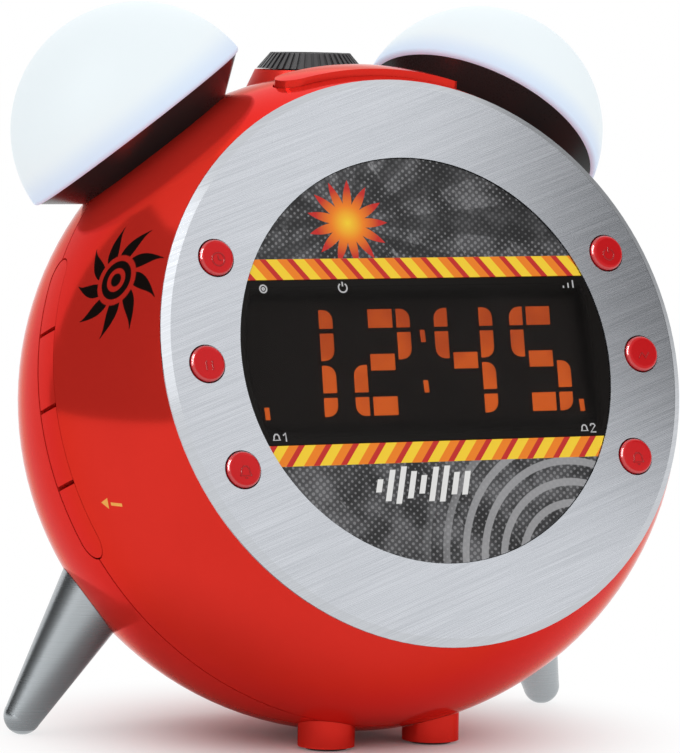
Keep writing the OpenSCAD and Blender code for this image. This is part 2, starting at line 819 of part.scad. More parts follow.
module side_key(i) {
  high = i == 0 ? body_r : key_edge(i) - key_split / 2;
  low = i == key_count - 1 ? -body_r : key_edge(i + 1) + key_split / 2;
  stem_root_x = sqrt(lip_in_r * lip_in_r - key_middle(i) * key_middle(i)) + lip_t / 2;
  color(case_red) leaned() {
    intersection() {
      difference() {
        sphere(body_r - key_recess);
        sphere(lip_in_r);
      }
      union() {
        key_row(0);
        intersection() {
          key_row(lip_w);
          sphere(lip_out_r);
        }
      }
      translate([-body_r, low, -key_w]) cube([body_r, high - low, 2 * key_w]);
    }
    translate([-key_stem_x, key_middle(i), 0]) rotate([0, -90, 0])
      cylinder(d = stem_d, h = stem_root_x - key_stem_x);
  }
}

module side_key_1() side_key(0);
module side_key_2() side_key(1);
module side_key_3() side_key(2);
module side_key_4() side_key(3);

module side_key_board() {
  color(board_green) leaned() difference() {
    translate([-key_board_x, -key_board_len / 2, key_board_low_z])
      cube([board_t, key_board_len, key_board_high_z - key_board_low_z]);
    at_key_posts() board_screw_hole();
  }
}

module side_switches() {
  color("dimgray") leaned() for (i = [0 : key_count - 1])
    translate([-key_board_x, key_middle(i), 0]) rotate([0, -90, 0]) tact_switch();
}

module snooze_bar() {
  color(case_red) leaned() along_snooze() {
    intersection() {
      difference() {
        sphere(body_r + snooze_proud);
        sphere(lip_in_r);
      }
      union() {
        snooze_prism(0);
        intersection() {
          snooze_prism(lip_w);
          sphere(lip_out_r);
        }
      }
    }
    translate([0, 0, snooze_stem_z]) cylinder(d = stem_d, h = lip_in_r + lip_t / 2 - snooze_stem_z);
  }
}

module snooze_board() {
  color(board_green) leaned() {
    along_snooze() translate([0, 0, snooze_board_z + board_t]) tact_switch();
    difference() {
      along_snooze() translate([-snooze_board_half_w, snooze_board_front_y, snooze_board_z])
        cube([2 * snooze_board_half_w, snooze_board_back_y - snooze_board_front_y, board_t]);
      at_snooze_posts() board_screw_hole();
    }
  }
}

module bell_base(side) {
  color([0.12, 0.12, 0.12]) leaned() along_bell(side) difference() {
    union() {
      translate([0, 0, bell_seat]) cylinder(r1 = bell_foot_r, r2 = bell_r - dome_round, h = bell_base_h);
      translate([0, 0, bell_seat - spigot_len]) cylinder(r = spigot_r, h = spigot_len + past);
    }
    translate([0, 0, bell_rim - light_pocket]) cylinder(r = light_board_r + fit, h = light_pocket + past);
    translate([0, 0, bell_seat - spigot_len - past])
      cylinder(r = wire_r, h = bell_base_h + spigot_len + 2 * past);
  }
}

module left_bell_base() bell_base(-1);
module right_bell_base() bell_base(1);

module bell_dome(side) {
  color([0.93, 0.96, 1]) leaned() along_bell(side) translate([0, 0, bell_rim]) difference() {
    union() {
      translate([0, 0, dome_centre])
        ball_slice(dome_sphere_r, dome_round - dome_centre, dome_sphere_r + past);
      cylinder(r = bell_r - dome_round, h = 2 * dome_round);
      intersection() {
        translate([0, 0, dome_round])
          rotate_extrude() translate([bell_r - dome_round, 0]) circle(dome_round);
        cylinder(r = bell_r + past, h = dome_round);
      }
    }
    translate([0, 0, dome_centre]) sphere(dome_sphere_r - dome_t);
  }
}

module left_bell_dome() bell_dome(-1);
module right_bell_dome() bell_dome(1);

led_w = 3.5;
led_h = 1.6;
led_ring = 0.6;
module bell_light(side) {
  color("white") leaned() along_bell(side) translate([0, 0, bell_rim - light_pocket]) {
    cylinder(r = light_board_r, h = board_t);
    for (a = [0 : 60 : 300]) rotate([0, 0, a]) translate([led_ring * light_board_r, 0, 0])
      block([led_w, led_w, board_t + led_h]);
  }
}

module left_bell_light() bell_light(-1);
module right_bell_light() bell_light(1);

module at_projector() {
  upright() translate([0, projector_back, 0]) children();
}

module projector_collar() {
  skirt_r = collar_r + collar_skirt_h * tan(collar_flare);
  color(case_red) difference() {
    union() {
      difference() {
        at_projector() translate([0, 0, collar_top - collar_skirt_h])
          cylinder(r1 = skirt_r, r2 = collar_r, h = collar_skirt_h);
        upright() sphere(body_r + seat_gap);
      }
      at_projector() translate([0, 0, lamp_top]) cylinder(r = collar_tube_r, h = collar_top - lamp_top);
    }
    at_projector() translate([0, 0, lamp_top - past])
      cylinder(r = collar_in_r, h = collar_top - lamp_top + 2 * past);
  }
}

// Grooves are cut along the slope of the ring
groove_w = 0.7;
groove_d = 0.45;
module focus_ring() {
  slope = atan((ring_r - ring_top_r) / ring_h);
  flank = ring_h / cos(slope);
  color([0.15, 0.15, 0.16]) at_projector() difference() {
    union() {
      translate([0, 0, ring_bottom]) cylinder(r1 = ring_r, r2 = ring_top_r, h = ring_h);
      translate([0, 0, ring_bottom - sleeve_len]) cylinder(r = sleeve_r, h = sleeve_len + past);
    }
    translate([0, 0, ring_bottom - sleeve_len - past])
      cylinder(r = sleeve_in_r, h = sleeve_len + ring_h + 2 * past);
    for (i = [0 : ring_grooves - 1]) rotate([0, 0, 360 * i / ring_grooves])
      translate([ring_r, 0, ring_bottom]) rotate([0, -slope, 0])
        translate([-groove_d, -groove_w / 2, -past]) cube([2 * groove_d, groove_w, flank + 2 * past]);
  }
}

module lens_barrel() {
  color("black") at_projector() difference() {
    translate([0, 0, barrel_top - barrel_len]) cylinder(r = barrel_r, h = barrel_len);
    translate([0, 0, lens_seat]) cylinder(r = barrel_r - tube_t, h = barrel_len);
    translate([0, 0, barrel_top - barrel_len - past])
      cylinder(r = barrel_r - tube_t - lens_ledge, h = barrel_len);
  }
}

lens_edge_h = 1.2;
lens_ball_r = 9;
module projector_lens() {
  color([0.75, 0.82, 0.88]) at_projector() translate([0, 0, lens_seat]) intersection() {
    cylinder(r = lens_r, h = lens_ball_r);
    translate([0, 0, lens_edge_h - sqrt(lens_ball_r * lens_ball_r - lens_r * lens_r)])
      sphere(lens_ball_r);
  }
}

module lamp_housing() {
  hollow_w = lamp_w - 2 * lamp_wall;
  color("dimgray") at_projector() translate([0, 0, lamp_top - lamp_h]) difference() {
    block([lamp_w, lamp_w, lamp_h]);
    translate([0, 0, -past]) block([hollow_w, hollow_w, lamp_h - lamp_wall - screen_drop + past]);
    translate([0, 0, -past]) cylinder(r = collar_in_r - lamp_wall, h = lamp_h + 2 * past);
  }
}

module projector_screen() {
  screen_w = lamp_w - 2 * lamp_wall - 2 * fit;
  color([0.3, 0.35, 0.4]) at_projector() translate([0, 0, lamp_top - lamp_wall - screen_drop - screen_t])
    block([screen_w, screen_w, screen_t]);
}

lamp_d = 5;
lamp_rise = 4;
module lamp_board() {
  color(board_green) at_projector() translate([0, 0, lamp_top - lamp_h - board_t]) {
    block([lamp_w, lamp_w, board_t]);
    cylinder(d = lamp_d, h = board_t + lamp_rise);
  }
}

module leg(side) {
  top = leg_seat + leg_root_len;
  color("silver") upright() difference() {
    intersection() {
      along_leg(side) {
        sphere(leg_tip_r);
        cylinder(r1 = leg_tip_r, r2 = leg_tip_r + leg_taper * top, h = top);
      }
      translate([0, 0, -body_z]) block([4 * body_r, 4 * body_r, body_z]);
    }
    sphere(body_r + seat_gap);
    along_leg(side) translate([0, 0, leg_seat - leg_bore_len])
      cylinder(r = leg_screw_r + screw_gap, h = 2 * leg_root_len);
  }
}

module left_leg() leg(-1);
module right_leg() leg(1);

module leg_screws() {
  color("gray") upright() for (side = [-1, 1]) along_leg(side)
    translate([0, 0, leg_seat + leg_boss_len]) rotate([180, 0, 0])
      screw(leg_screw_r, leg_boss_len + leg_bore_len - leg_bore_spare);
}

module front_foot(side) {
  color(case_red) upright() translate([side * foot_x, -foot_front, 0]) difference() {
    translate([0, 0, pad_proud - body_z]) cylinder(d = foot_d, h = body_r / 2);
    translate([-side * foot_x, foot_front, 0]) sphere(body_r + seat_gap);
    translate([0, 0, -body_z]) cylinder(d = pad_d + 2 * fit, h = pad_t);
  }
}

module left_front_foot() front_foot(-1);
module right_front_foot() front_foot(1);

module foot_pads() {
  color([0.15, 0.15, 0.15]) upright() for (side = [-1, 1])
    translate([side * foot_x, -foot_front, -body_z]) cylinder(d = pad_d, h = pad_t);
}

// A chip, a tuner can and a row of capacitors on the board
chip_size = [16, 12, 2];
chip_at = [-8, 2, 0];
can_size = [14, 10, 5];
can_at = [12, -6, 0];
capacitor_d = 6;
capacitor_h = 7;
capacitor_y = -11;
capacitor_xs = [-22, -13, -4];
module main_board() {
  color(board_green) leaned() difference() {
    translate([0, -main_board_drop, main_board_z]) rotate([-90, 0, 0]) union() {
      block([main_board_w, main_board_l, board_t]);
      translate(chip_at) block(chip_size + [0, 0, board_t]);
      translate(can_at) block(can_size + [0, 0, board_t]);
      for (x = capacitor_xs) translate([x, capacitor_y, 0])
        cylinder(d = capacitor_d, h = board_t + capacitor_h);
    }
    at_main_posts() board_screw_hole();
  }
}

// The basket rests on the inside of the back, the cone hangs in it and the magnet closes it
cone_t = 1;
basket_h = 11;
basket_wall = 1.2;
basket_rim_t = 1.6;
basket_step = 1;
basket_window_w = 8;
basket_window_low = 4;
basket_window_h = 4.5;
magnet_r = 11;
magnet_h = 7;
cone_r = speaker_r - 3;
cone_h = basket_h - 3;
coil_r = 5;
module speaker_frame() {
  color("gray") leaned() translate([0, speaker_rise, speaker_z]) difference() {
    union() {
      cylinder(r = speaker_r, h = basket_rim_t);
      cylinder(r1 = speaker_r - basket_step, r2 = magnet_r, h = basket_h);
    }
    translate([0, 0, -past]) cylinder(r = cone_r, h = basket_step + past);
    translate([0, 0, basket_step])
      cylinder(r1 = cone_r, r2 = magnet_r - basket_wall, h = basket_h - basket_step - basket_wall);
    for (a = [45 : 90 : 315]) rotate([0, 0, a])
      translate([speaker_r / 2, -basket_window_w / 2, basket_window_low])
        cube([speaker_r, basket_window_w, basket_window_h]);
  }
}

module speaker_cone() {
  color([0.2, 0.2, 0.2]) leaned() translate([0, speaker_rise, speaker_z + fit]) difference() {
    cylinder(r1 = cone_r - fit, r2 = coil_r, h = cone_h);
    translate([0, 0, -past / 2])
      cylinder(r1 = cone_r - fit - cone_t, r2 = coil_r - cone_t, h = cone_h - cone_t);
  }
}

module speaker_magnet() {
  color("black") leaned() translate([0, speaker_rise, speaker_z + basket_h])
    cylinder(r = magnet_r, h = magnet_h);
}

// Plate whose lower edge is rounded, because the door swings on it, with a notch for a finger
notch_r = 2.8;
notch_w = 16;
notch_inset = 4;
notch_out = 2;
module battery_door() {
  color(case_red) leaned() translate([0, door_low_y + door_round, -back_z]) difference() {
    union() {
      translate([-door_w / 2, 0, 0]) cube([door_w, door_h - door_round, door_t]);
      translate([-door_w / 2, 0, door_round]) rotate([0, 90, 0]) cylinder(r = door_round, h = door_w);
    }
    translate([-notch_w / 2, door_h - door_round - notch_inset, -notch_out]) rotate([0, 90, 0])
      cylinder(r = notch_r, h = notch_w);
  }
}

cell_nub_h = 1;
cell_z = -back_z + door_t + fit + cell_d / 2;
function cell_y(i) = -door_drop + (i - (cell_count - 1) / 2) * (cell_d + cell_gap);
module backup_cells() {
  color("slategray") leaned() for (i = [0 : cell_count - 1])
    translate([-cell_len / 2, cell_y(i), cell_z]) rotate([0, 90, 0]) {
      cylinder(d = cell_d, h = cell_len - cell_nub_h);
      cylinder(d = cell_d / 2, h = cell_len);
    }
}

contact_t = 0.6;
contact_w = cell_d - 2;
spring_d = cell_d - 3;
module battery_contacts() {
  color("silver") leaned() for (i = [0 : cell_count - 1], s = [-1, 1])
    translate([s * tray_w / 2, cell_y(i), cell_z]) rotate([0, -90 * s, 0]) {
      block([contact_w, contact_w, contact_t]);
      cylinder(d1 = spring_d, d2 = cell_d / 2, h = contact_room - fit);
    }
}

module power_inlet() {
  color([0.1, 0.1, 0.1]) leaned() translate([inlet_x, inlet_rise, -back_z]) {
    difference() {
      union() {
        translate([0, 0, wall]) block([inlet_body_w, inlet_body_h, inlet_body_l]);
        cylinder(r = inlet_nose_r, h = wall + past);
      }
      translate([0, 0, -past]) cylinder(r = inlet_r, h = inlet_depth + past);
    }
    translate([0, 0, inlet_pin_recess]) cylinder(r = inlet_pin_r, h = inlet_depth);
  }
}

module aerial_bush() {
  color([0.15, 0.15, 0.15]) leaned() translate([-inlet_x, inlet_rise, -back_z]) difference() {
    union() {
      cylinder(r = bush_r, h = wall);
      translate([0, 0, wall]) cylinder(r = bush_r + bush_flange_w, h = bush_flange_t);
    }
    translate([0, 0, -past]) cylinder(r = bush_bore_r, h = wall + bush_flange_t + 2 * past);
  }
}

module case_screws() {
  color("gray") leaned() at_case_screws() translate([0, 0, -screw_floor])
    screw(case_screw_r, screw_floor + screw_grip);
}

module board_screws() {
  color("gray") leaned() {
    at_board_posts() translate([0, 0, face_board_z]) screw(board_screw_r, board_screw_len);
    at_main_posts() translate([0, 0, -board_t]) screw(board_screw_r, board_screw_len);
    at_key_posts() translate([0, 0, -board_t]) screw(board_screw_r, board_screw_len);
    at_snooze_posts() translate([0, 0, -board_t]) screw(board_screw_r, board_screw_len);
  }
}

front_case();
rear_case();
face_plate();
dial_panel();
display_window();
display_block();
lit_bars();
face_board();
face_switches();
upper_left_button();
middle_left_button();
lower_left_button();
upper_right_button();
middle_right_button();
lower_right_button();
side_key_1();
side_key_2();
side_key_3();
side_key_4();
side_key_board();
side_switches();
snooze_bar();
snooze_board();
left_bell_base();
right_bell_base();
left_bell_dome();
right_bell_dome();
left_bell_light();
right_bell_light();
projector_collar();
focus_ring();
lens_barrel();
projector_lens();
lamp_housing();
projector_screen();
lamp_board();
left_leg();
right_leg();
leg_screws();
left_front_foot();
right_front_foot();
foot_pads();
main_board();
speaker_frame();
speaker_cone();
speaker_magnet();
battery_door();
backup_cells();
battery_contacts();
power_inlet();
aerial_bush();
case_screws();
board_screws();
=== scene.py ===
import json
import math

import bpy
from mathutils import Matrix, Vector


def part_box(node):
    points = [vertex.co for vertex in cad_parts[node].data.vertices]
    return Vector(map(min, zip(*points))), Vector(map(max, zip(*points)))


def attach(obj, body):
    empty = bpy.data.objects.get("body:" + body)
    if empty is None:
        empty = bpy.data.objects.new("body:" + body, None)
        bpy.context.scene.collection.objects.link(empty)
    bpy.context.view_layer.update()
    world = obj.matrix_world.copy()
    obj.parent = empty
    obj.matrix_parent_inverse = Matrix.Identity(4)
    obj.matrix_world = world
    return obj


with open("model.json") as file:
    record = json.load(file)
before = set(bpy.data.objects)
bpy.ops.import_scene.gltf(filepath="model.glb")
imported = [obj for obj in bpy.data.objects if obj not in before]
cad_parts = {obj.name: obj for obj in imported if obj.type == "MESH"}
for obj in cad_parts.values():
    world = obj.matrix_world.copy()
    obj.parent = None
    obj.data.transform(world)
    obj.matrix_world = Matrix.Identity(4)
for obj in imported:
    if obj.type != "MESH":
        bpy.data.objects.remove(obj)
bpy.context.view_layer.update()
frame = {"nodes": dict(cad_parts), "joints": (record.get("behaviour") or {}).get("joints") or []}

nodes = frame["nodes"]
joints = {joint["name"]: joint for joint in frame["joints"]}
mm = 0.001
perMetre = 1000  # millimetres
print("frame:", len(nodes), "nodes")


# places that the frame gives: the case's ball and the face

def farthest(node, axis):
    return max(axis.dot(v.co) for v in nodes[node].data.vertices)


def nearest(node, axis):
    return min(axis.dot(v.co) for v in nodes[node].data.vertices)


eastward, northward, upward = Vector((1, 0, 0)), Vector((0, 1, 0)), Vector((0, 0, 1))
faceOut = -Vector(joints["middle_left_press"]["axis"]).normalized()
faceRight = eastward
faceUp = faceOut.cross(faceRight)
windowLow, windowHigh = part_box("display_window")
windowMiddle = (windowLow + windowHigh) / 2
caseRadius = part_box("rear_case")[1].x
caseBottom = min(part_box("front_case")[0].z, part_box("rear_case")[0].z)
caseMiddleZ = caseBottom + caseRadius
caseMiddle = windowMiddle - faceOut * ((windowMiddle.z - caseMiddleZ) / faceOut.z)
windowFront = farthest("display_window", faceOut)
faceMiddle = caseMiddle + faceOut * (windowFront - faceOut.dot(caseMiddle))
plateFront = farthest("face_plate", faceOut)


def facePlace(x, y, lift):
    turn = Matrix((faceRight, faceUp, faceOut)).transposed().to_4x4()
    spot = faceMiddle + faceRight * x * mm + faceUp * y * mm + faceOut * lift * mm
    return Matrix.Translation(spot) @ turn


# camera at the photograph's viewing angle

view = {
    "azimuth": -27.891,
    "elevation": 4.577,
    "roll": 0.993,
    "focalPixels": 5000,
    "imageSize": (680, 753),
    "sensor": 36,
    "clip": (0.01, 50),
    "aimRight": -18.77,  # mm from the plate's middle
    "aimUp": -3.70,
    "distance": 1059.45,
    "plateDepth": 0.206,  # how far the aim lies behind the plate's front, in mm
}


def makeCamera():
    azimuth = math.radians(view["azimuth"])
    elevation = math.radians(view["elevation"])
    roll = math.radians(view["roll"])
    right = Vector((math.cos(azimuth), math.sin(azimuth), 0))
    back = Vector((math.sin(azimuth) * math.cos(elevation),
                   -math.cos(azimuth) * math.cos(elevation), math.sin(elevation)))
    up = back.cross(right)
    rolledRight = right * math.cos(roll) + up * math.sin(roll)
    rolledUp = up * math.cos(roll) - right * math.sin(roll)
    aimDepth = plateFront - faceOut.dot(caseMiddle) - view["plateDepth"] * mm
    aim = caseMiddle + faceOut * aimDepth
    offset = rolledRight * view["aimRight"] + rolledUp * view["aimUp"] + back * view["distance"]
    data = bpy.data.cameras.new("camera")
    data.lens = view["focalPixels"] * view["sensor"] / max(view["imageSize"])
    data.sensor_width = view["sensor"]
    data.clip_start, data.clip_end = view["clip"]
    camera = bpy.data.objects.new("camera", data)
    turn = Matrix((rolledRight, rolledUp, back)).transposed().to_4x4()
    camera.matrix_world = Matrix.Translation(aim + offset * mm) @ turn
    bpy.context.scene.collection.objects.link(camera)
    bpy.context.scene.camera = camera
    return camera.matrix_world.copy()


cameraPlace = makeCamera()


def spotOnCase(px, py):
    # where the sight line through a pixel meets the case
    width, height = view["imageSize"]
    focal = view["focalPixels"]
    aim = Vector(((px - width / 2) / focal, -(py - height / 2) / focal, -1))
    start = cameraPlace.translation
    ray = (cameraPlace.to_3x3() @ aim).normalized()
    toMiddle = caseMiddle - start
    along = toMiddle.dot(ray)
    depth = math.sqrt(along ** 2 - toMiddle.length_squared + caseRadius ** 2)
    return start + ray * (along - depth)


print("camera placed")


# shader sums: a wrapped socket, the nodes of a tree, and a material's finish

class Wire:
    def __init__(self, shading, socket):
        self.shading = shading
        self.socket = socket

    def __add__(self, other):
        return self.shading.sums("ADD", self, other)

    __radd__ = __add__

    def __sub__(self, other):
        return self.shading.sums("SUBTRACT", self, other)

    def __rsub__(self, other):
        return self.shading.sums("SUBTRACT", other, self)

    def __mul__(self, other):
        return self.shading.sums("MULTIPLY", self, other)

    __rmul__ = __mul__

    def __truediv__(self, other):
        return self.shading.sums("DIVIDE", self, other)

    def __abs__(self):
        return self.shading.sums("ABSOLUTE", self)


class Shading:
    def __init__(self, tree):
        self.tree = tree

    def first(self, kind):
        return next(n for n in self.tree.nodes if n.type == kind)

    def feed(self, socket, value):
        if isinstance(value, Wire):
            self.tree.links.new(value.socket, socket)
        elif value is not None:
            socket.default_value = value

    def node(self, kind, settings, sockets, output=0):
        made = self.tree.nodes.new(kind)
        for key, value in settings.items():
            if key == "stops":
                while len(made.color_ramp.elements) < len(value):
                    made.color_ramp.elements.new(0.5)
                for element, (at, tint) in zip(made.color_ramp.elements, value):
                    element.position = at
                    element.color = colour(tint)
            else:
                setattr(made, key, value)
        for key, value in sockets.items():
            self.feed(made.inputs[key], value)
        return Wire(self, made.outputs[output])

    def sums(self, operation, a, b=None):
        return self.node("ShaderNodeMath", {"operation": operation}, {0: a, 1: b})

    def most(self, first, *others):
        for other in others:
            first = self.sums("MAXIMUM", first, other)
        return first

    def reach(self, x, y):
        return self.sums("SQRT", x * x + y * y)

    def turns(self, y, x):
        return self.sums("ARCTAN2", y, x) / math.tau

    def part(self, value):
        # a repeating value, from -0.5 to 0.5 in each step
        return self.sums("FRACT", value) - 0.5

    def mix(self, amount, a, b):
        pair = {6: colour(a), 7: colour(b)}
        return self.node("ShaderNodeMix", {"data_type": "RGBA"}, {0: amount, **pair}, 2)

    def step(self, value, low, high):
        ends = {"Value": value, "From Min": low, "From Max": high}
        return self.node("ShaderNodeMapRange", {"interpolation_type": "SMOOTHSTEP"}, ends)

    def fall(self, value, low, high):
        return 1 - self.step(value, low, high)

    def place(self):
        return self.node("ShaderNodeTexCoord", {}, {}, "Object")

    def along(self, axis, start=Vector()):
        # millimetres along an axis from a starting point
        reach = {0: self.place(), 1: tuple(axis)}
        dot = self.node("ShaderNodeVectorMath", {"operation": "DOT_PRODUCT"}, reach, "Value")
        return dot * perMetre - axis.dot(start) * perMetre

    def onFace(self):
        return self.along(faceRight, faceMiddle), self.along(faceUp, faceMiddle)

    def vector(self, x, y, z):
        return self.node("ShaderNodeCombineXYZ", {}, {0: x, 1: y, 2: z})

    def noise(self, where, scale, detail, roughness=0.5):
        given = {"Vector": where, "Scale": scale, "Detail": detail, "Roughness": roughness}
        return self.node("ShaderNodeTexNoise", {}, given)

    def seen(self):
        # 1 for the rays that show the background: direct, mirrored and through glass
        rays = (self.node("ShaderNodeLightPath", {}, {}, "Is " + ray + " Ray")
                for ray in ("Camera", "Glossy", "Transmission"))
        return self.most(*rays)


class Finish(Shading):
    def __init__(self, name, **constants):
        self.material = bpy.data.materials.new(name)
        self.material.use_nodes = True
        super().__init__(self.material.node_tree)
        self.shader = self.first("BSDF_PRINCIPLED")
        for key, value in constants.items():
            self.set(key, value)

    def set(self, key, value):
        # camelCase words name the shader's sockets, as in coatWeight for Coat Weight
        words = "".join(" " + c if c.isupper() else c for c in key)
        self.feed(self.shader.inputs[words.title().replace("Ior", "IOR")], value)

    def cover(self, amount, over):
        pair = {0: amount, 1: Wire(self, self.shader.outputs[0]), 2: over}
        mixed = self.node("ShaderNodeMixShader", {}, pair)
        self.feed(self.first("OUTPUT_MATERIAL").inputs["Surface"], mixed)

    def bump(self, height, distance, strength):
        given = {"Height": height, "Distance": distance, "Strength": strength}
        self.set("normal", self.node("ShaderNodeBump", {}, given))

    def wear(self, *names):
        for name in names:
            mesh = nodes[name].data
            mesh.materials.clear()
            mesh.materials.append(self.material)


def colour(value):
    return (*value, 1) if isinstance(value, tuple) and len(value) == 3 else value


def shaded(tint, amount):
    return tuple(c * amount for c in tint)


# moulded plastic with a faint flow mottle and a fine skin

mouldLook = {
    "mottleScale": 28,
    "mottleRange": (0.3, 0.75),
    "mottleRoughness": 0.05,
    "grainScale": 2600,
    "grainRoughness": 0.03,
    "skin": 0.00001,  # depth of the bump in metres, as in the other looks
    "skinStrength": 0.25,
}


def moulded(name, tint, deep, rough, skin=mouldLook["skin"], **constants):
    finish = Finish(name, **constants)
    where = finish.place()
    mottle = finish.noise(where, mouldLook["mottleScale"], detail=4)
    grain = finish.noise(where, mouldLook["grainScale"], detail=2)
    finish.set("baseColor", finish.mix(finish.step(mottle, *mouldLook["mottleRange"]), tint, deep))
    uneven = mottle * mouldLook["mottleRoughness"]
    finish.set("roughness", rough + uneven + grain * mouldLook["grainRoughness"])
    finish.bump(grain, skin, mouldLook["skinStrength"])
    return finish


# the case, with its printed side motif and small key mark

caseLook = {
    "red": (0.735, 0.034, 0.023),
    "deepRed": (0.695, 0.031, 0.021),
    "gloss": {"metallic": 0.40, "specularIorLevel": 0.02, "specularTint": (1.0, 0.28, 0.15, 1)},
    "roughness": 0.07,
    "satin": {"metallic": 0.1, "specularIorLevel": 0.03},
    "satinRoughness": 0.3,
    "ink": (0.012, 0.008, 0.007),
    "legend": (0.86, 0.42, 0.10),
    "printFrom": (20, 24),  # mm out of the case's middle, so that print stays on one side
}
motifLook = {
    "pixel": (116, 280),
    "radius": 13.0,  # mm
    "tilt": 24,
    "blades": 9,
    "swirl": 0.9,
    # shares of the radius
    "bladesFrom": (0.42, 0.45),
    "bladesTo": (0.97, 1.0),
    "taper": (0.40, 1.0),
    "ring": 0.27,
    "ringHalf": (0.055, 0.075),
    "dot": (0.10, 0.13),
    # shares of a blade's width
    "taperDepth": 0.75,
    "bladeEdge": (0.18, 0.26),
}
keyMarkLook = {
    "pixel": (112, 504),
    # mm
    "arrowTip": -3.4,
    "arrowSlope": 0.55,
    "arrowBlur": 0.08,
    "arrowTo": (-1.25, -1.15),
    "barFrom": (-0.4, -0.3),
    "barTo": (3.0, 3.1),
    "barHalf": (0.3, 0.4),
}


def patch(finish, spot, tilt):
    # flat coordinates in millimetres around a spot on the case, and a mask for its own side
    out = (spot - caseMiddle).normalized()
    across = upward.cross(out).normalized()
    up = out.cross(across)
    turn = math.radians(tilt)
    right = across * math.cos(turn) + up * math.sin(turn)
    high = up * math.cos(turn) - across * math.sin(turn)
    side = finish.step(finish.along(out, caseMiddle), *caseLook["printFrom"])
    return finish.along(right, spot), finish.along(high, spot), side


def sideMotif(finish):
    # a ring of tapering blades around a small ring and a dot
    look = motifLook
    x, y, side = patch(finish, spotOnCase(*look["pixel"]), look["tilt"])
    reach = finish.reach(x, y) / look["radius"]
    swirl = finish.turns(y, x) * look["blades"] + reach * look["swirl"]
    blade = abs(finish.part(swirl)) * 2
    band = finish.step(reach, *look["bladesFrom"]) * finish.fall(reach, *look["bladesTo"])
    taper = finish.step(reach, *look["taper"]) * look["taperDepth"]
    low, high = look["bladeEdge"]
    blades = finish.step(blade, taper + low, taper + high) * band
    hub = finish.fall(abs(reach - look["ring"]), *look["ringHalf"])
    dot = finish.fall(reach, *look["dot"])
    return finish.most(blades, hub, dot) * side


def keyMark(finish):
    # a small triangle and bar that point at the keys
    look = keyMarkLook
    x, y, side = patch(finish, spotOnCase(*look["pixel"]), 0)
    flank = abs(y) - (x - look["arrowTip"]) * look["arrowSlope"]
    arrow = finish.fall(flank, -look["arrowBlur"], look["arrowBlur"])
    arrow = arrow * finish.fall(x, *look["arrowTo"])
    bar = finish.fall(abs(y), *look["barHalf"])
    bar = bar * finish.step(x, *look["barFrom"]) * finish.fall(x, *look["barTo"])
    return finish.most(arrow, bar) * side


def caseFinish():
    reds = caseLook["red"], caseLook["deepRed"]
    finish = moulded("caseRed", *reds, caseLook["roughness"], **caseLook["gloss"])
    finish.wear("rear_case", "side_key_1", "side_key_2", "side_key_3", "side_key_4", "snooze_bar",
                "left_front_foot", "right_front_foot", "battery_door")
    satin = moulded("collarRed", *reds, caseLook["satinRoughness"], **caseLook["satin"])
    satin.wear("projector_collar")
    printed = moulded("caseRedPrinted", *reds, caseLook["roughness"], **caseLook["gloss"])
    base = Wire(printed, printed.shader.inputs["Base Color"].links[0].from_socket)
    inked = printed.mix(sideMotif(printed), base, caseLook["ink"])
    printed.set("baseColor", printed.mix(keyMark(printed), inked, caseLook["legend"]))
    printed.wear("front_case")


caseFinish()
print("case finished")


# brushed face plate

plateLook = {
    "bright": (0.60, 0.62, 0.66),
    "dull": (0.48, 0.50, 0.535),
    "grainAngle": 18.5,
    "fine": (0.05, 5.5),  # noise along and across the grain
    "broad": (0.02, 1.1),
    "broadLayer": 7,
    "fineShare": 0.65,
    "shineRange": (0.32, 0.68),
    "roughness": 0.20,
    "streakRoughness": 0.14,
    "streakDepth": 0.00003,
    "streakStrength": 0.5,
    "bevelFrom": (60.0, 60.4),  # mm from the middle, where the smoother bevel begins
    "bevelSmoothing": 0.10,
    "bevelTone": (0.60, 0.62, 0.655),
    "bevelDull": (0.51, 0.53, 0.56),
}


def plateFinish():
    look = plateLook
    finish = Finish("brushedFace", metallic=1.0)
    turn = math.radians(look["grainAngle"])
    grain = faceRight * math.cos(turn) + faceUp * math.sin(turn)
    across = faceUp * math.cos(turn) - faceRight * math.sin(turn)
    a, b = finish.along(grain, faceMiddle), finish.along(across, faceMiddle)
    fineAlong, fineAcross = look["fine"]
    broadAlong, broadAcross = look["broad"]
    fine = finish.noise(finish.vector(a * fineAlong, b * fineAcross, 0), 1.0, detail=3)
    layer = finish.vector(a * broadAlong, b * broadAcross, look["broadLayer"])
    broad = finish.noise(layer, 1.0, detail=4)
    streak = fine * look["fineShare"] + broad * (1 - look["fineShare"])
    bevel = finish.step(finish.reach(a, b), *look["bevelFrom"])
    shine = finish.step(streak, *look["shineRange"])
    flat = finish.mix(shine, look["dull"], look["bright"])
    edge = finish.mix(shine, look["bevelDull"], look["bevelTone"])
    finish.set("baseColor", finish.mix(bevel, flat, edge))
    rough = look["roughness"] + streak * look["streakRoughness"]
    finish.set("roughness", rough - bevel * look["bevelSmoothing"])
    finish.bump(streak, look["streakDepth"], look["streakStrength"])
    finish.wear("face_plate")


plateFinish()


# printed dial: a grey ground with dots, rays, arcs, bars and striped borders, in mm

